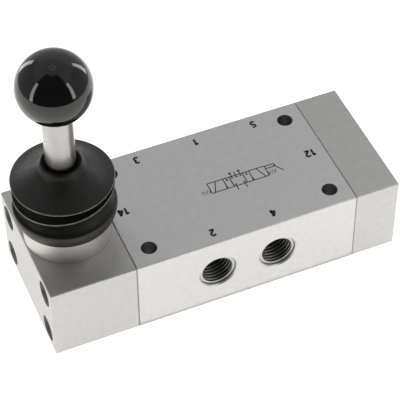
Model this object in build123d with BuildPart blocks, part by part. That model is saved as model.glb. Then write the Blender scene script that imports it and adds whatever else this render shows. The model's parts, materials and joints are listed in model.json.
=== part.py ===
from build123d import *
import math
import os

# Hand lever spool valve, five ports and three positions, spring centred.
# Frame: X along the spool with the lever block at -X, Z up, ports 2 and 4 on the -Y side.
# The origin is the centre of the valve body's underside. All sizes are in millimetres.

# --- Driving dimensions: housing ---
housing_width = 50.0
housing_height = 30.0
body_length = 80.0
lever_block_length = 30.0
end_cap_length = 16.0
edge_break = 0.3

# --- Ports and the galleries in the spool bore ---
port_pitch = 11.0
port_thread_major_d = 13.157
port_thread_depth = 12.0
port_mouth_chamfer = 0.4
port_passage_d = 5.0
gallery_width = 5.2
gallery_d = 20.0
spool_bore_d = 16.0
bore_lead_in = 0.4

# --- Mounting holes through the valve body ---
mounting_end_distance = 7.0
mounting_side_distance = 7.0
mounting_hole_d = 5.5

# --- Screws that hold the lever block and the end cap (M5 socket head) ---
screw_side_distance = 7.0
screw_top_distance = 6.0
screw_d = 5.0
screw_head_d = 8.5
screw_head_height = 5.0
screw_socket_flats = 4.0
screw_socket_depth = 2.5
screw_clearance_hole_d = 5.5
counterbore_d = 9.0
lever_block_screw_length = 25.0
end_cap_screw_length = 12.0
screw_engagement = 3.6
tap_run_out = 0.3

# --- Spool, its seals and its springs ---
spool_neck_d = 9.6
spool_tail_d = 12.0
spool_land_width = 3.2
control_seal_margin = 0.1
guide_seal_inset = 10.5
spool_guide_land_width = 5.5
spool_shoulder_inset = 7.0
spool_tail_end_gap = 5.0
lever_block_end_wall = 3.5
spool_spigot_length = 8.0
spool_seal_section_d = 2.0
land_clearance = 0.06
seal_clearance = 0.02
seal_groove_side_gap = 0.05
section_sides = 8
spring_wire_d = 1.2
spring_coils = 5
spring_guide_gap = 0.25
spring_pocket_depth = 6.5
spring_seat_gap = 0.15

# --- Seals between the housing blocks ---
joint_seal_mean_d = 21.0
joint_seal_section_d = 1.5
joint_seal_squeeze = 0.3
joint_seal_side_gap = 0.25

# --- Lever pivot ---
lever_arm = 12.5
pivot_pin_d = 4.0
pivot_fit = 0.03
hub_thickness = 9.0
hub_flat_reach = 4.5
pivot_spacer_d = 7.0
spacer_side_gap = 0.1
spacer_wall_gap = 0.1

# --- Collar that carries the lever and the boot ---
collar_d = 29.2
collar_height = 9.6
collar_edge_break = 0.5
spigot_d = 24.0
spigot_web = 1.0
spigot_bore_d = 18.0
boot_neck_d = 25.2
boot_neck_height = 2.4
boot_flange_d = 27.6
boot_flange_height = 2.0
collar_mouth_d = 21.2
collar_mouth_start = 1.0
slip_fit = 0.05

# --- Lever rod ---
rod_d = 10.0
rod_below_pivot = 3.5
rod_taper_height = 2.2
shank_d = 4.0
lever_ball_d = 7.9
ball_socket_d = 8.0
lever_well_d = 14.0
tail_bore_clearance = 0.5
stud_d = 6.0
stud_length = 10.0

# --- Ball knob and its threaded insert ---
knob_d = 24.5
knob_rise = 65.8
knob_flat_d = 15.0
insert_d = 9.0
insert_length = 11.5

# --- Dust boot ---
boot_clearance = 0.3
boot_skirt_d = 34.6
boot_skirt_foot_d = 31.8
boot_skirt_height = 6.0
boot_skirt_bulge = 0.6
boot_skirt_widest_rise = 4.0
boot_groove_d = 30.0
boot_rim_d = 34.0
boot_lower_rim_rise = 21.0
boot_upper_rim_rise = 25.5
boot_rim_height = 0.8
boot_wall = 1.6
boot_cone_rise = 31.0
boot_neck_rise = 33.5
boot_neck_outer_d = 14.6

# --- Places worked out from the sizes above ---
body_left = -body_length / 2
body_right = body_length / 2
block_left = body_left - lever_block_length
cap_right = body_right + end_cap_length
lever_x = body_left - lever_block_length / 2
bore_height = housing_height / 2
mounting_spacing_x = body_length - 2 * mounting_end_distance
mounting_spacing_y = housing_width - 2 * mounting_side_distance
screw_spacing_y = housing_width - 2 * screw_side_distance
screw_spacing_z = housing_height - 2 * screw_top_distance
pivot_height = bore_height + lever_arm
rod_lower_end = pivot_height - rod_below_pivot
spigot_bottom = bore_height + spool_bore_d / 2 + spigot_web
knob_centre_height = housing_height + knob_rise
spool_bore_r = spool_bore_d / 2
tail_r = spool_tail_d / 2
tail_bore_r = tail_r + tail_bore_clearance
spring_seat_left = body_left - spring_pocket_depth
spring_seat_right = body_right + spring_pocket_depth
spool_shoulder_x = body_right - spool_shoulder_inset
guide_seal_x = body_right - guide_seal_inset
control_seal_offset = gallery_width / 2 + spool_seal_section_d / 2 + control_seal_margin
inner_seal_x = port_pitch - control_seal_offset
outer_seal_x = port_pitch + control_seal_offset
tail_bore_end = block_left + lever_block_end_wall
spool_tail_end = tail_bore_end + spool_tail_end_gap
knob_flat_z = knob_centre_height - math.sqrt((knob_d / 2) ** 2 - (knob_flat_d / 2) ** 2)
collar_top = housing_height + collar_height
flange_under = collar_top + boot_neck_height
flange_top = flange_under + boot_flange_height

spool_axis = Axis((0, 0, bore_height), (1, 0, 0))
lever_axis = Axis((lever_x, 0, 0), (0, 0, 1))
spool_plane = Plane(origin=(0, 0, bore_height), x_dir=(1, 0, 0), z_dir=(0, -1, 0))
lever_plane = Plane(origin=(lever_x, 0, 0), x_dir=(1, 0, 0), z_dir=(0, -1, 0))

# Ports in order along the spool, with the side of the body that each one opens on.
ports = {3: (-2, 1), 2: (-1, -1), 1: (0, 1), 4: (1, -1), 5: (2, 1)}

os.makedirs("parts", exist_ok=True)


def save(part, name):
    """Label a finished piece and write it as its own STEP file."""
    part.label = name
    export_step(part, f"parts/{name}.step")


def across(x, outward):
    """Plane square to the spool at x, whose normal points along outward."""
    return Plane(origin=(x, 0, bore_height), x_dir=(0, 1, 0), z_dir=(outward, 0, 0))


def round_section(diameter):
    """Round section of a seal or a wire, drawn with eight sides that touch the circle from outside."""
    RegularPolygon(diameter / 2, section_sides, major_radius=False, rotation=180 / section_sides)


def ring_seal(x, mean_d, section_d):
    """O-ring around the spool axis."""
    with BuildPart() as ring:
        with BuildSketch(spool_plane):
            with Locations((x, mean_d / 2)):
                round_section(section_d)
        revolve(axis=spool_axis)
    return ring.part


def housing_block(x_low, x_high):
    """Plain block of the housing section with its edges broken."""
    with BuildPart() as block:
        with BuildSketch(Plane.YZ.offset(x_low)):
            with Locations((0, housing_height / 2)):
                Rectangle(housing_width, housing_height)
        extrude(amount=x_high - x_low)
        chamfer(block.edges(), length=edge_break)
    return block.part


# --- Valve body: spool bore with five galleries, five threaded ports, four mounting holes ---
with BuildPart() as valve_body:
    add(housing_block(body_left, body_right))
    with BuildSketch(across(body_left, 1)):
        Circle(spool_bore_r)
    extrude(amount=body_length, mode=Mode.SUBTRACT)
    for step, _ in ports.values():
        with BuildSketch(across(step * port_pitch - gallery_width / 2, 1)):
            Circle(gallery_d / 2)
        extrude(amount=gallery_width, mode=Mode.SUBTRACT)
    bore_rims = valve_body.edges().filter_by(GeomType.CIRCLE)
    bore_rims = bore_rims.filter_by(lambda edge: abs(edge.radius - spool_bore_r) < 0.01)
    chamfer(bore_rims.sort_by(Axis.X)[0], length=bore_lead_in)
    bore_rims = valve_body.edges().filter_by(GeomType.CIRCLE)
    bore_rims = bore_rims.filter_by(lambda edge: abs(edge.radius - spool_bore_r) < 0.01)
    chamfer(bore_rims.sort_by(Axis.X)[-1], length=bore_lead_in)
    for step, side in ports.values():
        mouth = Plane(
            origin=(step * port_pitch, side * housing_width / 2, bore_height),
            x_dir=(-side, 0, 0),
            z_dir=(0, side, 0),
        )
        with Locations(mouth):
            CounterSinkHole(
                radius=port_thread_major_d / 2,
                counter_sink_radius=port_thread_major_d / 2 + port_mouth_chamfer,
                counter_sink_angle=90,
                depth=port_thread_depth,
            )
            Hole(port_passage_d / 2, depth=housing_width / 2 - gallery_d / 2 + 1)
    with Locations((0, 0, housing_height)):
        with GridLocations(mounting_spacing_x, mounting_spacing_y, 2, 2):
            Hole(mounting_hole_d / 2, depth=housing_height)
    for end_x, outward in ((body_left, -1), (body_right, 1)):
        with Locations(across(end_x, outward)):
            with GridLocations(screw_spacing_y, screw_spacing_z, 2, 2):
                Hole(screw_d / 2 + slip_fit, depth=screw_engagement + tap_run_out)
save(valve_body.part, "valve_body")


def joint_seal_groove(face_x, outward):
    """Face groove for the seal, cut into a block from the face that meets the valve body."""
    groove_width = joint_seal_section_d + 2 * joint_seal_side_gap
    with BuildPart() as groove:
        with BuildSketch(across(face_x, outward)):
            Circle((joint_seal_mean_d + groove_width) / 2)
            Circle((joint_seal_mean_d - groove_width) / 2, mode=Mode.SUBTRACT)
        extrude(amount=joint_seal_section_d - joint_seal_squeeze)
    return groove.part


# --- Lever block: pocket for the collar, well for the lever, bore for the spool's tail ---
lever_block_counterbore = lever_block_length + screw_engagement - lever_block_screw_length
with BuildPart() as lever_block:
    add(housing_block(block_left, body_left))
    with BuildSketch(across(body_left, -1)):
        Circle(spool_bore_r)
    extrude(amount=spring_pocket_depth, mode=Mode.SUBTRACT)
    with BuildSketch(across(body_left, -1)):
        Circle(tail_bore_r)
    extrude(amount=body_left - tail_bore_end, mode=Mode.SUBTRACT)
    with Locations((lever_x, 0, housing_height)):
        CounterBoreHole(
            radius=lever_well_d / 2,
            counter_bore_radius=spigot_d / 2 + slip_fit,
            counter_bore_depth=housing_height - spigot_bottom,
            depth=housing_height - bore_height,
        )
    with Locations(across(block_left, -1)):
        with GridLocations(screw_spacing_y, screw_spacing_z, 2, 2):
            CounterBoreHole(
                radius=screw_clearance_hole_d / 2,
                counter_bore_radius=counterbore_d / 2,
                counter_bore_depth=lever_block_counterbore,
                depth=lever_block_length,
            )
    add(joint_seal_groove(body_left, -1), mode=Mode.SUBTRACT)
save(lever_block.part, "lever_block")

# --- End cap: pocket for the right-hand spring ---
end_cap_counterbore = end_cap_length + screw_engagement - end_cap_screw_length
with BuildPart() as end_cap:
    add(housing_block(body_right, cap_right))
    with BuildSketch(across(body_right, 1)):
        Circle(spool_bore_r)
    extrude(amount=spring_pocket_depth, mode=Mode.SUBTRACT)
    with Locations(across(cap_right, 1)):
        with GridLocations(screw_spacing_y, screw_spacing_z, 2, 2):
            CounterBoreHole(
                radius=screw_clearance_hole_d / 2,
                counter_bore_radius=counterbore_d / 2,
                counter_bore_depth=end_cap_counterbore,
                depth=end_cap_length,
            )
    add(joint_seal_groove(body_right, 1), mode=Mode.SUBTRACT)
save(end_cap.part, "end_cap")


def end_screws(seat_x, outward, length):
    """Four socket head screws whose heads rest at seat_x and point along outward."""
    seat = across(seat_x, outward)
    with BuildPart() as screws:
        with BuildSketch(seat):
            with GridLocations(screw_spacing_y, screw_spacing_z, 2, 2):
                Circle(screw_head_d / 2)
        extrude(amount=screw_head_height)
        with BuildSketch(seat):
            with GridLocations(screw_spacing_y, screw_spacing_z, 2, 2):
                Circle(screw_d / 2)
        extrude(amount=-length)
        with BuildSketch(seat.offset(screw_head_height)):
            with GridLocations(screw_spacing_y, screw_spacing_z, 2, 2):
                RegularPolygon(screw_socket_flats / 2, 6, major_radius=False)
        extrude(amount=-screw_socket_depth, mode=Mode.SUBTRACT)
    return screws.part


save(end_screws(block_left + lever_block_counterbore, -1, lever_block_screw_length), "lever_block_screws")
save(end_screws(cap_right - end_cap_counterbore, 1, end_cap_screw_length), "end_cap_screws")

# --- Seals between the blocks and the valve body ---
joint_seal_shift = (joint_seal_section_d - joint_seal_squeeze) / 2
joint_seal_d = joint_seal_section_d - joint_seal_squeeze - 2 * seal_clearance
save(ring_seal(body_left - joint_seal_shift, joint_seal_mean_d, joint_seal_d), "lever_block_seal")
save(ring_seal(body_right + joint_seal_shift, joint_seal_mean_d, joint_seal_d), "end_cap_seal")

# --- Collar: spigot in the lever block, ring above it, neck and flange for the boot ---
with BuildPart() as lever_collar:
    with BuildSketch(lever_plane):
        with BuildLine():
            Polyline(
                (spigot_bore_d / 2, spigot_bottom),
                (spigot_d / 2, spigot_bottom),
                (spigot_d / 2, housing_height),
                (collar_d / 2, housing_height),
                (collar_d / 2, collar_top - collar_edge_break),
                (collar_d / 2 - collar_edge_break, collar_top),
                (boot_neck_d / 2, collar_top),
                (boot_neck_d / 2, flange_under),
                (boot_flange_d / 2, flange_under),
                (boot_flange_d / 2, flange_top),
                (collar_mouth_d / 2, flange_top),
                (spigot_bore_d / 2, housing_height + collar_mouth_start),
                close=True,
            )
        make_face()
    revolve(axis=lever_axis)
    with BuildSketch(Plane.XZ.offset(-spigot_d / 2)):
        with Locations((lever_x, pivot_height)):
            Circle(pivot_pin_d / 2 + pivot_fit)
    extrude(amount=spigot_d, mode=Mode.SUBTRACT)
save(lever_collar.part, "lever_collar")

# --- Pivot pin across the spigot, and the two spacers that centre the lever on it ---
pin_length = 2 * math.sqrt((spigot_d / 2) ** 2 - (pivot_pin_d / 2) ** 2)
with BuildPart() as pivot_pin:
    with BuildSketch(Plane.XZ.offset(-pin_length / 2)):
        with Locations((lever_x, pivot_height)):
            Circle(pivot_pin_d / 2)
    extrude(amount=pin_length)
    chamfer(pivot_pin.edges().filter_by(GeomType.CIRCLE), length=edge_break)
save(pivot_pin.part, "pivot_pin")

spacer_inner_y = hub_thickness / 2 + spacer_side_gap
spacer_outer_y = math.sqrt((spigot_bore_d / 2) ** 2 - (pivot_spacer_d / 2) ** 2) - spacer_wall_gap


def pivot_spacer(side):
    """Spacer on the pin between the lever's flat and the wall of the spigot, on one side."""
    with BuildPart() as spacer:
        with BuildSketch(Plane.XZ.offset(-side * spacer_inner_y)):
            with Locations((lever_x, pivot_height)):
                Circle(pivot_spacer_d / 2)
                Circle(pivot_pin_d / 2 + slip_fit, mode=Mode.SUBTRACT)
        extrude(amount=-side * (spacer_outer_y - spacer_inner_y))
    return spacer.part


save(pivot_spacer(-1), "pivot_spacer_front")
save(pivot_spacer(1), "pivot_spacer_rear")

# --- Lever rod: ball for the spool, shank, hub with two flats, round rod and threaded stud ---
shank_top = rod_lower_end - rod_taper_height
with BuildPart() as lever_rod:
    with BuildSketch(lever_plane):
        with BuildLine():
            Polyline(
                (0, bore_height),
                (shank_d / 2, bore_height),
                (shank_d / 2, shank_top),
                (rod_d / 2, rod_lower_end),
                (rod_d / 2, knob_flat_z),
                (stud_d / 2, knob_flat_z),
                (stud_d / 2, knob_flat_z + stud_length),
                (0, knob_flat_z + stud_length),
                close=True,
            )
        make_face()
    revolve(axis=lever_axis)
    with Locations((lever_x, 0, bore_height)):
        Sphere(lever_ball_d / 2)
    chamfer(lever_rod.edges().filter_by(GeomType.CIRCLE).sort_by(Axis.Z)[-1], length=edge_break)
    flat_height = pivot_height + hub_flat_reach - shank_top
    for side in (-1, 1):
        with BuildSketch(Plane.XZ.offset(-side * hub_thickness / 2)):
            with Locations((lever_x, shank_top + flat_height / 2)):
                Rectangle(rod_d, flat_height)
        extrude(amount=-side * rod_d, mode=Mode.SUBTRACT)
    with BuildSketch(Plane.XZ.offset(-rod_d / 2)):
        with Locations((lever_x, pivot_height)):
            Circle(pivot_pin_d / 2 + pivot_fit)
    extrude(amount=rod_d, mode=Mode.SUBTRACT)
save(lever_rod.part, "lever_rod")

# --- Ball knob with a flat underside, and the threaded insert moulded into it ---
with BuildPart() as ball_knob:
    with Locations((lever_x, 0, knob_centre_height)):
        Sphere(knob_d / 2)
    split(bisect_by=Plane.XY.offset(knob_flat_z), keep=Keep.TOP)
    with BuildSketch(Plane.XY.offset(knob_flat_z)):
        with Locations((lever_x, 0)):
            Circle(insert_d / 2 + slip_fit)
    extrude(amount=insert_length, mode=Mode.SUBTRACT)
save(ball_knob.part, "ball_knob")

with BuildPart() as knob_insert:
    with BuildSketch(Plane.XY.offset(knob_flat_z)):
        with Locations((lever_x, 0)):
            Circle(insert_d / 2)
            Circle(stud_d / 2 + slip_fit, mode=Mode.SUBTRACT)
    extrude(amount=insert_length)
save(knob_insert.part, "knob_insert")

# --- Spool: lands with a seal groove each, tail with the lever's socket, spigot for a spring ---
land_r = spool_bore_r - land_clearance
seal_outer_r = spool_bore_r - seal_clearance
seal_mean_d = 2 * seal_outer_r - spool_seal_section_d
groove_floor_d = seal_mean_d - spool_seal_section_d - 2 * seal_clearance
groove_width = spool_seal_section_d + 2 * seal_groove_side_gap
control_seals = [-outer_seal_x, -inner_seal_x, inner_seal_x, outer_seal_x]
seal_stations = [-guide_seal_x] + control_seals + [guide_seal_x]

with BuildPart() as spool:
    with BuildSketch(across(-spool_shoulder_x, 1)):
        Circle(spool_neck_d / 2)
    extrude(amount=2 * spool_shoulder_x)
    for station in control_seals:
        with BuildSketch(across(station - spool_land_width / 2, 1)):
            Circle(land_r)
        extrude(amount=spool_land_width)
    for outward in (-1, 1):
        with BuildSketch(across(outward * (spool_shoulder_x - spool_guide_land_width), outward)):
            Circle(land_r)
        extrude(amount=spool_guide_land_width)
    with BuildSketch(across(-spool_shoulder_x, -1)):
        Circle(tail_r)
    extrude(amount=-spool_shoulder_x - spool_tail_end)
    with BuildSketch(across(spool_shoulder_x, 1)):
        Circle(tail_r)
    extrude(amount=spool_spigot_length)
    for station in seal_stations:
        with BuildSketch(across(station - groove_width / 2, 1)):
            Circle(land_r + land_clearance)
            Circle(groove_floor_d / 2, mode=Mode.SUBTRACT)
        extrude(amount=groove_width, mode=Mode.SUBTRACT)
    with Locations((lever_x, 0, bore_height + tail_r)):
        Hole(ball_socket_d / 2, depth=spool_tail_d)
save(spool.part, "spool")

for number, station in enumerate(seal_stations, start=1):
    save(ring_seal(station, seal_mean_d, spool_seal_section_d), f"spool_seal_{number}")


# --- Centring springs between the spool's shoulders and the pockets of the two blocks ---
def centring_spring(seat_x, toward_spool):
    """Compression spring that stands on seat_x and reaches to the spool's shoulder."""
    free_room = abs(seat_x) - spool_shoulder_x - spring_wire_d - 2 * spring_seat_gap
    coil_r = tail_r + spring_guide_gap + spring_wire_d / 2
    start_x = seat_x + toward_spool * (spring_wire_d / 2 + spring_seat_gap)
    with BuildPart() as spring:
        with BuildLine() as coil:
            Helix(
                pitch=free_room / spring_coils,
                height=free_room,
                radius=coil_r,
                center=(start_x, 0, bore_height),
                direction=(toward_spool, 0, 0),
            )
        with BuildSketch(Plane(origin=coil.line @ 0, z_dir=coil.line % 0)):
            round_section(spring_wire_d)
        sweep(is_frenet=True)
    return spring.part


save(centring_spring(spring_seat_left, 1), "centring_spring_left")
save(centring_spring(spring_seat_right, -1), "centring_spring_right")

# --- Dust boot: skirt snapped over the collar's flange, two folds, cone and neck on the rod ---
skirt_foot = collar_top + boot_clearance
skirt_widest = skirt_foot + boot_skirt_widest_rise
skirt_mean_r = (boot_skirt_d + boot_skirt_foot_d) / 4
skirt_top = skirt_foot + boot_skirt_height
lower_rim = housing_height + boot_lower_rim_rise
upper_rim = housing_height + boot_upper_rim_rise
cone_top = housing_height + boot_cone_rise
neck_top = housing_height + boot_neck_rise
rim_r = boot_rim_d / 2
groove_r = boot_groove_d / 2
neck_bore_r = rod_d / 2 + boot_clearance
lower_groove = (skirt_top + lower_rim) / 2
upper_groove = (lower_rim + upper_rim) / 2

with BuildPart() as dust_boot:
    with BuildSketch(lever_plane):
        with BuildLine():
            outer = Polyline(
                (boot_skirt_d / 2, skirt_widest),
                (boot_skirt_d / 2 - boot_wall / 2, skirt_top),
                (groove_r, lower_groove),
                (rim_r, lower_rim - boot_rim_height / 2),
                (rim_r, lower_rim + boot_rim_height / 2),
                (groove_r, upper_groove),
                (rim_r, upper_rim - boot_rim_height / 2),
                (rim_r, upper_rim + boot_rim_height / 2),
                (boot_neck_outer_d / 2, cone_top),
                (boot_neck_outer_d / 2, neck_top),
                (neck_bore_r, neck_top),
                (neck_bore_r, cone_top - boot_wall / 2),
                (rim_r - boot_wall, upper_rim - boot_rim_height / 2),
                (groove_r - boot_wall, upper_groove),
                (rim_r - boot_wall, lower_rim),
                (groove_r - boot_wall, lower_groove),
                (boot_flange_d / 2 + boot_clearance, flange_top + boot_clearance),
                (boot_flange_d / 2 + boot_clearance, flange_under - boot_clearance),
                (boot_neck_d / 2 + boot_clearance, flange_under - boot_clearance),
                (boot_neck_d / 2 + boot_clearance, skirt_foot),
                (boot_skirt_foot_d / 2, skirt_foot),
            )
            skirt_bulge_z = (skirt_foot + skirt_widest) / 2 - boot_skirt_bulge / 2
            ThreePointArc(outer @ 1, (skirt_mean_r + boot_skirt_bulge / 2, skirt_bulge_z), outer @ 0)
        make_face()
    revolve(axis=lever_axis)
save(dust_boot.part, "dust_boot")
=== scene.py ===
"""Looks of the hand lever air valve: finishes, ribbed boot, coil springs, threads, print and light tent."""
import json
import math

import bpy
from mathutils import Matrix, Vector


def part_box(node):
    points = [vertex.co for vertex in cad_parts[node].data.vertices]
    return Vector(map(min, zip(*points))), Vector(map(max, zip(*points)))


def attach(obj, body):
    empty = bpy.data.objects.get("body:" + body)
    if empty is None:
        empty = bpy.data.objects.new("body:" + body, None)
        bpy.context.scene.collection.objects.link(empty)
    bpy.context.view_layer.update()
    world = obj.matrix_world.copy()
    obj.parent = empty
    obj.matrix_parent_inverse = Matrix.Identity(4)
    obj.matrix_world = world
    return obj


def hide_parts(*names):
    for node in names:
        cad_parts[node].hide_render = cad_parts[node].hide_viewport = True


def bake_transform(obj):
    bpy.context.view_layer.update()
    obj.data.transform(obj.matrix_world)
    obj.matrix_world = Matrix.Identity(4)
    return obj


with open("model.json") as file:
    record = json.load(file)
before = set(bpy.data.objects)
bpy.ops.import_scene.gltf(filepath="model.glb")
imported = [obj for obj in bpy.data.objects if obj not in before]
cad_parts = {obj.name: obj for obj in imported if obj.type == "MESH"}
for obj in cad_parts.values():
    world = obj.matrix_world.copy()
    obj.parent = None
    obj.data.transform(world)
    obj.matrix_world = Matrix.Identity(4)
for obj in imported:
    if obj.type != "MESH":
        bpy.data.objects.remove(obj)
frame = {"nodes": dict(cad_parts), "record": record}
bpy.context.view_layer.update()

MM = 0.001
NODES = frame["nodes"]

body_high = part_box("valve_body")[1]
boot_low, boot_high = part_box("dust_boot")
deck = body_high.z
lever_x = (boot_low.x + boot_high.x) / 2


# ---------------------------------------------------------------- finishes

NOISE_SPAN = (0.3, 0.7)        # nearly all values of a noise lie between these
CONTACT_RAYS = 6               # rays that look for a nearby wall


def ranged(tree, value, start, stop, low=0.0, high=1.0, smooth=False):
    """Maps an output from start..stop to low..high, and holds it there beyond."""
    node = tree.nodes.new("ShaderNodeMapRange")
    if smooth:
        node.interpolation_type = "SMOOTHSTEP"
    for socket, bound in (("From Min", start), ("From Max", stop), ("To Min", low), ("To Max", high)):
        node.inputs[socket].default_value = bound
    tree.links.new(value, node.inputs["Value"])
    return node.outputs[0]


class Finish:
    """A procedural material on the part's own coordinates: one Principled surface and what varies it."""

    def __init__(self, name, **sockets):
        self.material = bpy.data.materials.new(name)
        self.material.use_nodes = True
        self.tree = self.material.node_tree
        self.surface = self.tree.nodes["Principled BSDF"]
        self.place = self.tree.nodes.new("ShaderNodeTexCoord").outputs["Object"]
        for socket, value in sockets.items():
            self.surface.inputs[socket.replace("_", " ")].default_value = value

    def join(self, output, target):
        self.tree.links.new(output, target)

    def calculate(self, operation, first, second=None):
        """One math operation on one or two values or outputs."""
        node = self.tree.nodes.new("ShaderNodeMath")
        node.operation = operation
        for socket, value in zip(node.inputs, (first, second)):
            if isinstance(value, (int, float)):
                socket.default_value = value
            elif value is not None:
                self.join(value, socket)
        return node.outputs[0]

    def stretched(self, x=1.0, y=1.0, z=1.0):
        """The part's coordinates, stretched so that a grain runs along one of them."""
        mapping = self.tree.nodes.new("ShaderNodeMapping")
        mapping.inputs["Scale"].default_value = (x, y, z)
        self.join(self.place, mapping.inputs["Vector"])
        return mapping.outputs["Vector"]

    def lathe(self, axis_x):
        """Radius and height about the upright axis through axis_x, so that a grain runs round it."""
        split = self.tree.nodes.new("ShaderNodeSeparateXYZ")
        self.join(self.place, split.inputs[0])
        off_x = self.calculate("SUBTRACT", split.outputs["X"], axis_x)
        squares = [self.calculate("MULTIPLY", off, off) for off in (off_x, split.outputs["Y"])]
        pair = self.tree.nodes.new("ShaderNodeCombineXYZ")
        self.join(self.calculate("SQRT", self.calculate("ADD", *squares)), pair.inputs["X"])
        self.join(split.outputs["Z"], pair.inputs["Y"])
        return pair.outputs[0]

    def noise(self, size, vector=None, detail=3.0):
        """Noise whose features are about size across, in metres."""
        node = self.tree.nodes.new("ShaderNodeTexNoise")
        node.inputs["Scale"].default_value = 1 / size
        node.inputs["Detail"].default_value = detail
        self.join(vector or self.place, node.inputs["Vector"])
        return node.outputs[0]

    def spread(self, factor, low, high, socket):
        """Turns a noise into values between low and high for one of the surface's inputs."""
        self.join(ranged(self.tree, factor, *NOISE_SPAN, low, high), self.surface.inputs[socket])

    def colours(self, factor, dark, light):
        """Turns a noise into a base colour between two tones."""
        node = self.tree.nodes.new("ShaderNodeValToRGB")
        for element, position, tone in zip(node.color_ramp.elements, NOISE_SPAN, (dark, light)):
            element.position, element.color = position, (*tone, 1)
        self.join(factor, node.inputs[0])
        self.join(node.outputs[0], self.surface.inputs["Base Color"])

    def bump(self, height, depth, strength, under=None):
        """Raises the surface by depth metres where height is 1, on top of another bump if one is given."""
        node = self.tree.nodes.new("ShaderNodeBump")
        node.inputs["Strength"].default_value = strength
        node.inputs["Distance"].default_value = depth
        self.join(height, node.inputs["Height"])
        if under:
            self.join(under, node.inputs["Normal"])
        self.join(node.outputs[0], self.surface.inputs["Normal"])
        return node.outputs[0]

    def openness(self, reach, closed=0.25, free=0.85, low=0.0, high=1.0):
        """Low deep in a recess of about the given reach and high on a free surface."""
        hollow = self.tree.nodes.new("ShaderNodeAmbientOcclusion")
        hollow.samples = CONTACT_RAYS
        hollow.inputs["Distance"].default_value = reach
        return ranged(self.tree, hollow.outputs["AO"], closed, free, low, high)

    def painted_recess_shade(self, reach, tone):
        """Paints shade into the base colour: darkens it where the surface lies in a recess, where shade
        falls.
        """
        mix = self.tree.nodes.new("ShaderNodeMix")
        mix.data_type = "RGBA"
        mix.inputs["A"].default_value = (*tone, 1)
        self.join(self.openness(reach), mix.inputs["Factor"])
        base = self.surface.inputs["Base Color"]
        self.join(base.links[0].from_socket, mix.inputs["B"])
        self.join(mix.outputs["Result"], base)


def blasted_alloy(name, dark, light, rough, shade_reach, shade_tone):
    """Bead-blasted, clear-anodised aluminium of the housing, with painted shade in its holes and seams to
    the given reach.
    """
    finish = Finish(name, Metallic=1.0)
    finish.colours(finish.noise(2.5 * MM, detail=5), dark, light)
    # Painted shade: the base colour darkens in holes and seams, where shade falls.
    finish.painted_recess_shade(shade_reach, (shade_tone, shade_tone, 0.92 * shade_tone))
    finish.spread(finish.noise(0.4 * MM, detail=4), rough - 0.05, rough + 0.05, "Roughness")
    pits = finish.bump(finish.noise(0.16 * MM, detail=2), 0.012 * MM, 0.5)
    finish.bump(finish.noise(0.9 * MM), 0.008 * MM, 0.3, under=pits)
    return finish.material


def cut_alloy():
    """Bare tapped aluminium inside the ports, darker than the housing, with painted shade in its recesses
    and a grain round each port.
    """
    finish = Finish("cut_alloy", Metallic=1.0)
    finish.colours(finish.noise(0.7 * MM, detail=4), (0.3, 0.29, 0.265), (0.42, 0.41, 0.385))
    # Painted shade: the base colour darkens deep in the thread, where shade falls.
    finish.painted_recess_shade(1.3 * MM, (0.1, 0.098, 0.085))
    finish.spread(finish.noise(0.3 * MM), 0.42, 0.55, "Roughness")
    finish.bump(finish.noise(0.15 * MM, finish.stretched(y=3)), 0.01 * MM, 0.5)
    return finish.material


def turned_alloy():
    """Satin aluminium from the lathe, with fine rings round the lever's axis."""
    finish = Finish("turned_alloy", Metallic=1.0)
    rings = finish.noise(0.2 * MM, finish.lathe(lever_x), detail=4)
    finish.colours(rings, (0.59, 0.565, 0.545), (0.665, 0.64, 0.62))
    finish.spread(rings, 0.52, 0.6, "Roughness")
    finish.bump(rings, 0.006 * MM, 0.4)
    return finish.material


def ground_steel():
    """Ground bright steel with faint rings of the grinding wheel."""
    finish = Finish("ground_steel", Metallic=1.0)
    rings = finish.noise(0.12 * MM, finish.stretched(x=0.02, y=0.02), detail=3)
    streaks = finish.noise(2 * MM, finish.stretched(z=0.12), detail=4)
    finish.colours(streaks, (0.38, 0.365, 0.365), (0.45, 0.435, 0.43))
    finish.spread(rings, 0.2, 0.27, "Roughness")
    finish.bump(rings, 0.002 * MM, 0.3)
    return finish.material


def black_oxide():
    """Socket screws of blackened steel, lightly rubbed."""
    finish = Finish("black_oxide", Metallic=0.7)
    finish.colours(finish.noise(0.9 * MM, detail=5), (0.016, 0.016, 0.017), (0.05, 0.049, 0.048))
    finish.spread(finish.noise(0.5 * MM), 0.3, 0.5, "Roughness")
    finish.bump(finish.noise(0.2 * MM), 0.01 * MM, 0.5)
    return finish.material


def rubber(name, dark, light, rough, grain, fold_shade_reach=None):
    """Moulded black rubber with a fine grain and a chalky bloom, and painted shade in its folds, as weaker
    reflection, if their reach is given.
    """
    finish = Finish(name, Specular_IOR_Level=0.45)
    if fold_shade_reach:
        # Painted shade: the reflection is turned down in the folds, where shade falls.
        fold_shade = finish.openness(fold_shade_reach, closed=0.74, free=0.99, low=0.02, high=0.42)
        finish.join(fold_shade, finish.surface.inputs["Specular IOR Level"])
    finish.colours(finish.noise(2.2 * MM, detail=6), dark, light)
    finish.spread(finish.noise(1.2 * MM, detail=5), rough - 0.06, rough + 0.08, "Roughness")
    skin = finish.bump(finish.noise(grain), 0.02 * MM, 0.5)
    finish.bump(finish.noise(1.6 * MM, detail=2), 0.05 * MM, 0.35, under=skin)
    return finish.material


def spring_steel():
    """Drawn spring wire with a slightly uneven shine."""
    finish = Finish("spring_wire", Metallic=1.0)
    finish.colours(finish.noise(0.6 * MM, detail=5), (0.36, 0.355, 0.35), (0.52, 0.515, 0.5))
    finish.spread(finish.noise(0.3 * MM), 0.25, 0.4, "Roughness")
    finish.bump(finish.noise(0.15 * MM), 0.01 * MM, 0.5)
    return finish.material


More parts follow.
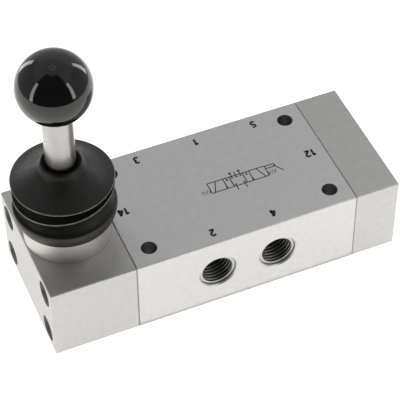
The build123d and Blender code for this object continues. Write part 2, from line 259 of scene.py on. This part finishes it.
def spool_alloy():
    """Hard-anodised and polished spool, with fine rings round its axis."""
    finish = Finish("polished_spool", Metallic=1.0)
    rings = finish.noise(0.2 * MM, finish.stretched(y=0.05, z=0.05), detail=4)
    finish.colours(rings, (0.62, 0.62, 0.61), (0.74, 0.74, 0.73))
    finish.spread(rings, 0.16, 0.28, "Roughness")
    finish.bump(rings, 0.006 * MM, 0.6)
    return finish.material


def brass(name, along):
    """Turned brass with fine rings round the given axis."""
    finish = Finish(name, Metallic=1.0)
    squeeze = {axis: 1.0 if axis == along else 0.06 for axis in "xyz"}
    rings = finish.noise(0.2 * MM, finish.stretched(**squeeze), detail=4)
    finish.colours(finish.noise(1.5 * MM), (0.68, 0.47, 0.2), (0.8, 0.58, 0.27))
    finish.spread(rings, 0.2, 0.34, "Roughness")
    finish.bump(rings, 0.008 * MM, 0.6)
    return finish.material


def knob_plastic():
    """Polished black phenolic of the ball, with a hint of ripple."""
    finish = Finish("knob_gloss", IOR=1.54)
    finish.colours(finish.noise(4 * MM, detail=6), (0.0012, 0.0013, 0.0007), (0.0022, 0.0023, 0.0013))
    finish.spread(finish.noise(1.5 * MM, detail=6), 0.04, 0.09, "Roughness")
    finish.bump(finish.noise(5 * MM, detail=1), 0.008 * MM, 0.2)
    return finish.material


def ink():
    """Screen-printed black ink, a little uneven."""
    finish = Finish("printed_ink", Specular_IOR_Level=0.4)
    finish.colours(finish.noise(0.35 * MM, detail=5), (0.006, 0.006, 0.006), (0.02, 0.02, 0.02))
    finish.spread(finish.noise(0.3 * MM), 0.45, 0.62, "Roughness")
    finish.bump(finish.noise(0.12 * MM), 0.004 * MM, 0.5)
    return finish.material


# The last two numbers of each housing finish set the painted shade in its holes and seams: its reach and its
# darkest tone.
body_finish = blasted_alloy("blasted_body_alloy", (0.57, 0.565, 0.56), (0.61, 0.605, 0.6),
                            rough=0.44, shade_reach=3 * MM, shade_tone=0.032)
block_finish = blasted_alloy("blasted_block_alloy", (0.5, 0.495, 0.487), (0.54, 0.535, 0.527),
                             rough=0.48, shade_reach=0.4 * MM, shade_tone=0.09)
thread_finish = cut_alloy()
# Painted highlight: a lighter grey rubber on the rims' outer edge stands in for the bright line of light
# along each rim.
rim_highlight_finish = rubber("painted_rim_highlight", (0.08, 0.08, 0.072), (0.2, 0.203, 0.186), rough=0.36, grain=0.2 * MM)
# The boot's skin gets painted shade in its folds, to a reach of 7 mm.
boot_finish = rubber("boot_skin", (0.005, 0.0055, 0.0036), (0.009, 0.0096, 0.0066), rough=0.46,
                     grain=0.25 * MM, fold_shade_reach=7 * MM)
ink_finish = ink()

SLOT_FINISH = {
    "housing_alloy": block_finish,
    "turned_alloy": turned_alloy(),
    "black_screws": black_oxide(),
    "seal_rubber": rubber("seal_skin", (0.012, 0.012, 0.012), (0.02, 0.02, 0.02),
                          rough=0.34, grain=0.18 * MM),
    "boot_rubber": boot_finish,
    "ground_steel": ground_steel(),
    "spring_steel": spring_steel(),
    "spool_alloy": spool_alloy(),
    "spacer_brass": brass("spacer_brass_turned", "y"),
    "knob_plastic": knob_plastic(),
    "insert_brass": brass("insert_brass_turned", "z"),
}

for node in NODES.values():
    for slot in node.material_slots:
        slot.material = SLOT_FINISH[slot.material.name.split(".")[0]]
NODES["valve_body"].material_slots[0].material = body_finish


# ---------------------------------------------------------------- mesh helpers

def piece(name, vertices, faces, finish, body=None, smooth=True):
    """A new mesh piece in the row frame, riding on a body if one is given."""
    mesh = bpy.data.meshes.new(name)
    mesh.from_pydata(vertices, [], faces)
    mesh.materials.append(finish)
    for face in mesh.polygons:
        face.use_smooth = smooth
    made = bpy.data.objects.new(name, mesh)
    bpy.context.scene.collection.objects.link(made)
    if body:
        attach(made, body)
    return made


def grid_faces(rows, columns):
    """Quads of a closed tube of rows by columns vertices."""
    return [(row * columns + i, row * columns + (i + 1) % columns,
             (row + 1) * columns + (i + 1) % columns, (row + 1) * columns + i)
            for row in range(rows - 1) for i in range(columns)]


def smooth_line(points, steps):
    """A curve through every given point (Catmull-Rom), in so many steps from each to the next."""
    ends = [points[0], *points, points[-1]]
    line = []
    for a, b, c, d in zip(ends, ends[1:], ends[2:], ends[3:]):
        a, b, c, d = map(Vector, (a, b, c, d))
        for step in range(steps):
            t = step / steps
            line.append((2 * b + (c - a) * t + (2 * a - 5 * b + 4 * c - d) * t ** 2
                         + (3 * b - a - 3 * c + d) * t ** 3) / 2)
    line.append(Vector(points[-1]))
    return line


# ---------------------------------------------------------------- rubber boot

rim_low_z, rim_high_z = 52.0 * MM, 55.85 * MM
groove_radius = 14.5 * MM
rim_radius = boot_high.y - 0.35 * MM
rim_edge = 0.26 * MM           # depth of the rims' edge that gets the painted highlight, a lighter grey rubber
bulge_top = 7 * MM             # over the boot's foot; the bulge below this gets no painted highlight
neck_radius = 7.25 * MM
lean = 1.9 * MM                # the lower rim hangs lower on the outer side than over the body
lean_reach = 2.2 * MM          # height over which the lean fades away from that rim
rod_radius = 5.0 * MM
boot_wall = 1.3 * MM


def fold(rim_z, below):
    """One fold of the bellows, going up: out of the groove along its underside and round its thin rim."""
    lip = 0.3 * MM
    return [
        (groove_radius, below), (groove_radius + 0.3 * MM, below + 0.45 * MM),
        (rim_radius - 1.3 * MM, rim_z - 1.15 * MM), (rim_radius - 0.5 * lip, rim_z - lip),
        (rim_radius, rim_z - 0.4 * lip), (rim_radius, rim_z + 0.4 * lip),
        (rim_radius - 0.5 * lip, rim_z + lip),
    ]


def boot_section():
    """Outline of the boot's wall, from the outer foot up to the neck and down inside to the foot."""
    widest = (boot_high.x - boot_low.x) / 2
    between_rims = (rim_low_z + rim_high_z) / 2
    foot, top = boot_low.z, boot_high.z
    outer = [
        (widest - 1.2 * MM, foot), (widest - 0.85 * MM, foot + 0.3 * MM),
        (widest - 0.25 * MM, foot + 2.0 * MM), (widest, foot + 3.7 * MM),
        (widest - 0.1 * MM, foot + 4.9 * MM), (widest - 0.5 * MM, foot + 5.35 * MM),
        (widest - 1.4 * MM, foot + 6.1 * MM),
        *fold(rim_low_z, foot + 8.6 * MM),
        (rim_radius - 1.3 * MM, rim_low_z + 0.9 * MM),
        *fold(rim_high_z, between_rims - 0.1 * MM),
        (rim_radius - 3.6 * MM, rim_high_z + 1.75 * MM), (neck_radius + 1.5 * MM, rim_high_z + 4.6 * MM),
        (neck_radius + 0.35 * MM, rim_high_z + 5.6 * MM), (neck_radius, rim_high_z + 6.6 * MM),
        (neck_radius - 0.1 * MM, top - 0.7 * MM), (neck_radius - 0.55 * MM, top - 0.12 * MM),
        (neck_radius - 1.1 * MM, top), (rod_radius + 0.5 * MM, top - 0.1 * MM),
    ]
    inner = [
        (rod_radius + 0.02 * MM, top - 0.6 * MM), (rod_radius + 0.02 * MM, rim_high_z + 5.4 * MM),
        (neck_radius + 0.4 * MM, rim_high_z + 3.8 * MM), (rim_radius - 3.8 * MM, rim_high_z + 0.3 * MM),
        (rim_radius - boot_wall, rim_high_z - 0.4 * MM), (groove_radius - boot_wall, between_rims),
        (rim_radius - boot_wall, rim_low_z), (groove_radius - boot_wall, foot + 8.6 * MM),
        (groove_radius - 0.2 * MM, foot + 5.2 * MM), (widest - 2.6 * MM, foot + 4.3 * MM),
        (widest - 2.6 * MM, foot),
    ]
    return smooth_line(outer, 4) + smooth_line(inner, 2)


def rubber_boot():
    """The ribbed dust boot, spun about the lever's axis, with its lower rim hanging aslant."""
    section = boot_section()
    around = 144
    vertices = []
    for radius, height in section:
        sag = lean * math.exp(-((height - rim_low_z) / lean_reach) ** 2)
        for i in range(around):
            angle = 2 * math.pi * i / around
            vertices.append((lever_x + radius * math.cos(angle), radius * math.sin(angle),
                             height + sag * math.cos(angle)))
    rows = len(section)
    faces = grid_faces(rows, around)
    last = (rows - 1) * around
    faces += [(last + i, last + (i + 1) % around, (i + 1) % around, i) for i in range(around)]
    boot = piece("ribbed_boot", vertices, faces, boot_finish)
    # The second material is the painted highlight on the rims' outer edge.
    boot.data.materials.append(rim_highlight_finish)
    for face in boot.data.polygons:
        corners = [boot.data.vertices[i].co for i in face.vertices]
        middle = sum(corners, Vector((0, 0, 0))) / len(corners)
        out = math.hypot(middle.x - lever_x, middle.y)
        if out > rim_radius - rim_edge and middle.z > boot_low.z + bulge_top:
            face.material_index = 1
    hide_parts("dust_boot")
    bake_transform(boot)


rubber_boot()


# ---------------------------------------------------------------- centring springs

spring_wire = 1.2 * MM
spring_turns = 6
spring_closed_turns = 1        # turns at each end that lie close together
spring_closed_pitch = 1.24 * MM


def centring_spring(node, toward_spool):
    """Coil spring with closed ends that the spool squeezes against its seat, in place of the plain helix."""
    low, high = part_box(node)
    seat, shoulder = (low.x, high.x) if toward_spool > 0 else (high.x, low.x)
    wire_radius = spring_wire / 2
    coil_radius = (high.y - low.y) / 2 - wire_radius
    axis_z = (low.z + high.z) / 2
    length = high.x - low.x - spring_wire
    open_turns = spring_turns - 2 * spring_closed_turns
    open_pitch = (length - 2 * spring_closed_turns * spring_closed_pitch) / open_turns
    per_turn, sides = 28, 10
    vertices = []
    for step in range(spring_turns * per_turn + 1):
        turn = step / per_turn
        closed = min(turn, spring_closed_turns) + max(0.0, turn - spring_turns + spring_closed_turns)
        along = closed * spring_closed_pitch + (turn - closed) * open_pitch
        middle_x = seat + toward_spool * (wire_radius + along)
        angle = 2 * math.pi * turn
        for i in range(sides):
            around = 2 * math.pi * i / sides
            radius = coil_radius + wire_radius * math.cos(around)
            vertices.append((middle_x + wire_radius * math.sin(around),
                             radius * math.sin(angle), axis_z + radius * math.cos(angle)))
    rows = len(vertices) // sides
    faces = grid_faces(rows, sides)
    faces += [tuple(reversed(range(sides))), tuple(range((rows - 1) * sides, rows * sides))]
    coil = piece(f"{node}_coil", vertices, faces, SLOT_FINISH["spring_steel"])
    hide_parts(node)
    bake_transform(coil)


centring_spring("centring_spring_left", 1)
centring_spring("centring_spring_right", -1)


# ---------------------------------------------------------------- threads of the ports

thread_root = 6.57 * MM
thread_crest = 5.56 * MM
thread_pitch = 1.337 * MM
thread_mouth = 0.4 * MM        # depth of the chamfer at the port's mouth
thread_start = 1.0 * MM        # depth of the step at which the ridges begin
thread_depth = 11.4 * MM
thread_fade = 0.6 * MM         # length over which the first groove is cut to its full depth
crest_flat = 1.25              # over 1 flattens the crests


def thread_radius(down, turn):
    """Inside radius of the thread at a depth and a share of a turn."""
    ridge = 0.5 - 0.5 * math.cos(2 * math.pi * (down / thread_pitch + turn))
    cut = min(1.0, (down - thread_start) / thread_fade)
    return thread_root - (thread_root - thread_crest) * min(1.0, 1 - cut * (1 - crest_flat * ridge))


def port_thread(name, middle, outward):
    """Pipe thread of one port: a sleeve with a short plain mouth, a step, and the ridges behind it."""
    around, per_pitch = 96, 9
    rows = int((thread_depth - thread_start) / thread_pitch * per_pitch)
    mouth = outward * body_high.y
    plain = [thread_mouth, thread_start]
    cut = [thread_start + (thread_depth - thread_start) * row / rows for row in range(rows + 1)]
    vertices = []
    for ring, down in enumerate(plain + cut):
        for i in range(around):
            angle = 2 * math.pi * i / around
            radius = thread_root if ring < len(plain) else thread_radius(down, i / around)
            vertices.append((middle.x + radius * math.cos(angle), mouth - outward * down,
                             middle.z + radius * math.sin(angle)))
    faces = grid_faces(len(plain) + len(cut), around)
    if outward > 0:
        faces = [tuple(reversed(face)) for face in faces]
    thread = piece(name, vertices, faces, thread_finish, "housing")
    thread.data.materials.append(body_finish)
    for face in thread.data.polygons[:len(plain) * around]:
        face.material_index = 1
        face.use_smooth = False


for mount in frame["record"]["mounts"]:
    if mount["name"].startswith("port_"):
        port_thread(f"{mount['name']}_thread", Vector(mount["pos_m"]), mount["axis"][1])


# ---------------------------------------------------------------- printed marks

ink_height = 0.02 * MM
digit_height = 3.1 * MM
digit_stroke = 0.26            # stroke width and advance are shares of the digit's height
digit_advance = 0.66
symbol_line = 0.34 * MM


def arc(x, y, across, high, start, stop, steps=10):
    """Points along part of an ellipse, angles in degrees."""
    angles = [math.radians(start + (stop - start) * i / steps) for i in range(steps + 1)]
    return [(x + across * math.cos(angle), y + high * math.sin(angle)) for angle in angles]


# Strokes of the digits on a cell one high, with the middle of the foot at the origin.
DIGITS = {
    "1": [[(0.06, 0.0), (0.06, 0.98)], [(0.04, 0.9), (-0.2, 0.72)]],
    "2": [arc(0, 0.7, 0.22, 0.22, 165, -35) + [(-0.2, 0.09)], [(-0.27, 0.085), (0.28, 0.085)]],
    "3": [arc(-0.01, 0.73, 0.2, 0.19, 155, -85), arc(-0.01, 0.3, 0.235, 0.22, 85, -155)],
    "4": [[(0.12, 0.0), (0.12, 0.97)], [(0.1, 0.93), (-0.24, 0.33)], [(-0.31, 0.27), (0.31, 0.27)]],
    "5": [[(0.24, 0.91), (-0.15, 0.91), (-0.19, 0.5)], arc(-0.01, 0.32, 0.235, 0.235, 125, -155)],
}


def printed(name, strokes, width, x, y):
    """Ink lines on the top, turned to be read from the rear side, about the point x, y."""
    vertices, faces = [], []
    for stroke in strokes:
        points = [Vector((px, py)) for px, py in stroke]
        first = len(vertices)
        for i, point in enumerate(points):
            before, after = points[max(i - 1, 0)], points[min(i + 1, len(points) - 1)]
            side = (after - before).normalized().orthogonal() * width / 2
            for edge in (point + side, point - side):
                for level in (deck, deck + ink_height):
                    vertices.append((x - edge.x, y - edge.y, level))
        for i in range(len(points) - 1):
            a, b = first + 4 * i, first + 4 * (i + 1)
            faces += [(a + 1, a + 3, b + 3, b + 1), (a, b, b + 2, a + 2),
                      (a, a + 1, b + 1, b), (a + 2, b + 2, b + 3, a + 3)]
        end = first + 4 * (len(points) - 1)
        faces += [(first, first + 2, first + 3, first + 1), (end, end + 1, end + 3, end + 2)]
    piece(name, vertices, faces, ink_finish, "housing", smooth=False)


def printed_number(text, x, y):
    """A port or pilot number."""
    strokes = []
    for place, digit in enumerate(text):
        shift = (place - (len(text) - 1) / 2) * digit_advance
        for stroke in DIGITS[digit]:
            strokes.append([((px + shift) * digit_height, (py - 0.5) * digit_height) for px, py in stroke])
    printed(f"number_{text}", strokes, digit_stroke * digit_height, x, y)


def valve_symbol(x, y):
    """Graphic symbol of a lever-worked 5/3 valve with closed centre and spring return, in thin lines.

    The strokes are set out in millimetres about the symbol's middle.
    """
    side, middle, high = 8.2, 4.9, 4.7
    left, right, low, top = -middle / 2 - side, middle / 2 + side, -high / 2, high / 2
    line_x = 1.6               # the supply lines leave the middle square this far from its centre
    lever_left = left - 3.6
    strokes = [[(left, level), (right, level)] for level in (low, top)]
    for edge in (left, -middle / 2, middle / 2, right):
        strokes.append([(edge, low), (edge, top)])
    for mirror in (-1, 1):
        port = mirror * (middle / 2 + 2.4)
        arrow_x = mirror * (middle / 2 + 6.1)
        strokes.append([(port, low), (port, top)])
        strokes.append([(arrow_x - mirror * 0.9, low), (arrow_x + mirror * 0.9, top)])
        strokes.append([(port - mirror * 1.2, low), (port - mirror * 1.2, low + 1.2)])
        strokes.append([(port - mirror * 1.7, low + 1.2), (port - mirror * 0.7, low + 1.2)])
        strokes.append([(port - 0.3, top - 0.9), (port, top), (port + 0.3, top - 0.9)])
        line = mirror * line_x
        strokes.append([(line, top), (line, top + 1.9)])
        strokes.append([(line, low), (line, low - 1.9)])
        strokes.append([(line - 0.5, low - 1.2), (line, low - 1.9), (line + 0.5, low - 1.2)])
        for end, blocked in ((low, low + 0.8), (top, top - 0.8)):
            strokes.append([(line, end), (line, blocked)])
            strokes.append([(line - 0.5, blocked), (line + 0.5, blocked)])
    strokes += [[(0, low - 1.7), (0, low + 0.8)], [(-0.5, low + 0.8), (0.5, low + 0.8)]]
    for start, along in ((right, 1), (left, -1)):
        coils = [(start + along * 0.5 * i, top - (0.3 if i % 2 else 1.9)) for i in range(7)]
        strokes.append(coils)
    strokes += [[(left, low + 0.2), (lever_left, low + 0.2)], [(left, low + 1.4), (lever_left, low + 1.4)],
                [(lever_left, low + 0.2), (lever_left, low + 1.4)],
                [(left - 3.2, low + 0.8), (left - 5.2, top - 0.8), (left - 5.7, top - 0.6)]]
    scaled = [[(px * MM, py * MM) for px, py in stroke] for stroke in strokes]
    printed("valve_symbol", scaled, symbol_line, x, y)


# Middles of the numbers on the top, in millimetres.
NUMBER_PLACES = {
    "3": (-22.1, 20.6), "1": (0.0, 20.6), "5": (21.9, 20.6),
    "2": (-11.1, -20.2), "4": (11.0, -20.2),
    "12": (34.4, 0.0), "14": (-34.9, 0.0),
}
for text, (x, y) in NUMBER_PLACES.items():
    printed_number(text, x * MM, y * MM)
valve_symbol(6.4 * MM, -1.6 * MM)


# ---------------------------------------------------------------- floor, light and camera

def heading(azimuth, elevation=0.0):
    """Unit direction for angles in degrees. Azimuth 0 is +Y and 90 is +X."""
    azimuth, elevation = math.radians(azimuth), math.radians(elevation)
    return (math.sin(azimuth) * math.cos(elevation), math.cos(azimuth) * math.cos(elevation),
            math.sin(elevation))


def floor():
    """A plain pale round table, lit evenly."""
    finish = Finish("pale_floor", Roughness=0.9, Emission_Strength=1.0)
    finish.surface.inputs["Emission Color"].default_value = (1, 0.99, 0.96, 1)
    finish.colours(finish.noise(0.3, detail=2), (0.84, 0.84, 0.84), (0.86, 0.86, 0.86))
    reach, around, gap = 0.36, 96, 0.02 * MM
    angles = [2 * math.pi * i / around for i in range(around)]
    rim = [(lever_x + reach * math.cos(angle), reach * math.sin(angle), -gap) for angle in angles]
    piece("floor", rim, [tuple(range(around))], finish.material)


def strip(name, azimuth, low, high):
    """A soft upright light strip in a corner of the tent, between two heights and not seen by the camera."""
    distance, width, radiance = 0.5, 0.08, 4.0
    light = bpy.data.lights.new(name, "AREA")
    light.shape = "RECTANGLE"
    light.size, light.size_y = width, high - low
    light.energy = radiance * math.pi * width * (high - low)
    lamp = bpy.data.objects.new(name, light)
    bpy.context.scene.collection.objects.link(lamp)
    out = Vector(heading(azimuth))
    lamp.location = out * distance + Vector((lever_x, 0, (low + high) / 2))
    lamp.rotation_euler = out.to_track_quat("Z", "Y").to_euler()
    lamp.visible_camera = False


def surroundings():
    """A light tent: pale walls and ceiling, a dark open front, and a white backdrop behind the object."""
    world = bpy.data.worlds.new("tent")
    bpy.context.scene.world = world
    world.use_nodes = True
    tree = world.node_tree
    new, join = tree.nodes.new, tree.links.new

    def step(operation, first, second):
        """One operation on two outputs, numbers or vectors."""
        vectors = operation in ("DOT_PRODUCT", "NORMALIZE") or isinstance(second, tuple)
        node = new("ShaderNodeVectorMath" if vectors else "ShaderNodeMath")
        node.operation = operation
        for socket, value in zip(node.inputs, (first, second)):
            if hasattr(value, "is_linked"):
                join(value, socket)
            else:
                socket.default_value = value
        return node.outputs["Value"] if operation == "DOT_PRODUCT" else node.outputs[0]

    def within(sight, toward, half, soft, smooth=False):
        """1 within a half angle of a direction and 0 beyond it, with an edge soft degrees to either side."""
        outer, inner = math.cos(math.radians(half + soft)), math.cos(math.radians(half - soft))
        return ranged(tree, step("DOT_PRODUCT", sight, toward), outer, inner, smooth=smooth)

    def mixed(share, first, second):
        """The first tone where the share is 0 and the second where it is 1."""
        node = new("ShaderNodeMix")
        node.data_type = "RGBA"
        join(share, node.inputs["Factor"])
        for socket, value in (("A", first), ("B", second)):
            if isinstance(value, float):
                node.inputs[socket].default_value = (value, value, value, 1)
            else:
                join(value, node.inputs[socket])
        return node.outputs["Result"]

    look = new("ShaderNodeTexCoord").outputs["Generated"]
    split = new("ShaderNodeSeparateXYZ")
    join(look, split.inputs[0])
    height = split.outputs["Z"]
    level = step("NORMALIZE", step("MULTIPLY", look, (1, 1, 0)), (0, 0, 0))

    wall = new("ShaderNodeValToRGB")
    join(height, wall.inputs[0])
    tones = ((0.0, 0.7), (0.25, 0.6), (0.45, 0.6), (0.64, 0.66), (0.77, 0.56), (0.87, 0.55), (0.97, 0.5))
    while len(wall.color_ramp.elements) < len(tones):
        wall.color_ramp.elements.new(0.5)
    for element, (position, tone) in zip(wall.color_ramp.elements, tones):
        element.position, element.color = position, (tone, tone, tone, 1)

    # The walls at the sides are darker low down, and the open front is dark up to the roof.
    low_down = ranged(tree, height, 0.75, 0.55, smooth=True)
    behind = within(level, heading(30), 45, 4, smooth=True)
    sides = step("MULTIPLY", step("SUBTRACT", 1.0, behind), low_down)
    tent = mixed(sides, wall.outputs[0], 0.42)
    under_roof = ranged(tree, height, math.sin(math.radians(80)), math.sin(math.radians(73)), smooth=True)
    front = within(level, heading(-154), 59, 5, smooth=True)
    tent = mixed(step("MINIMUM", front, under_roof), tent, 0.09)
    # A pale disc in the roof with a dark hole in it, which shows in the ball.
    for half, tone in ((9.5, 0.85), (2.2, 0.15)):
        tent = mixed(within(look, heading(22, 78), half, 1), tent, tone)
    seen = new("ShaderNodeLightPath").outputs["Is Camera Ray"]
    join(mixed(seen, tent, 1.0), tree.nodes["Background"].inputs["Color"])


floor()
surroundings()
for name, azimuth, low, high in (("strip_left_rear", -20, -0.05, 0.3),
                                 ("strip_right_rear", 70, 0.02, 0.38),
                                 ("strip_left_front", -99, -0.02, 0.5),
                                 ("strip_right_front", 144, 0.03, 0.5)):
    strip(name, azimuth, low, high)

camera = bpy.data.objects.new("camera", bpy.data.cameras.new("camera"))
bpy.context.scene.collection.objects.link(camera)
bpy.context.scene.camera = camera
camera.data.lens = 155.32
camera.data.sensor_width = 36
camera.data.clip_start, camera.data.clip_end = 0.01, 100

# Where the camera stands, in metres, and its line of sight and roll, in degrees.
camera_place = (-0.160159, -0.366475, 0.460931)
sight_azimuth, sight_elevation, roll = 22.664, -47.734, math.radians(-0.487)
forward = Vector(heading(sight_azimuth, sight_elevation))
level = forward.cross(Vector((0, 0, 1))).normalized()
upright = level.cross(forward)
right = math.cos(roll) * level + math.sin(roll) * upright
top = math.cos(roll) * upright - math.sin(roll) * level
turn = Matrix((right, top, -forward)).transposed().to_4x4()
camera.matrix_world = Matrix.Translation(camera_place) @ turn

bpy.context.scene.view_settings.view_transform = "Standard"


# ---------------------------------------------------------------- view layer update

bpy.context.view_layer.update()
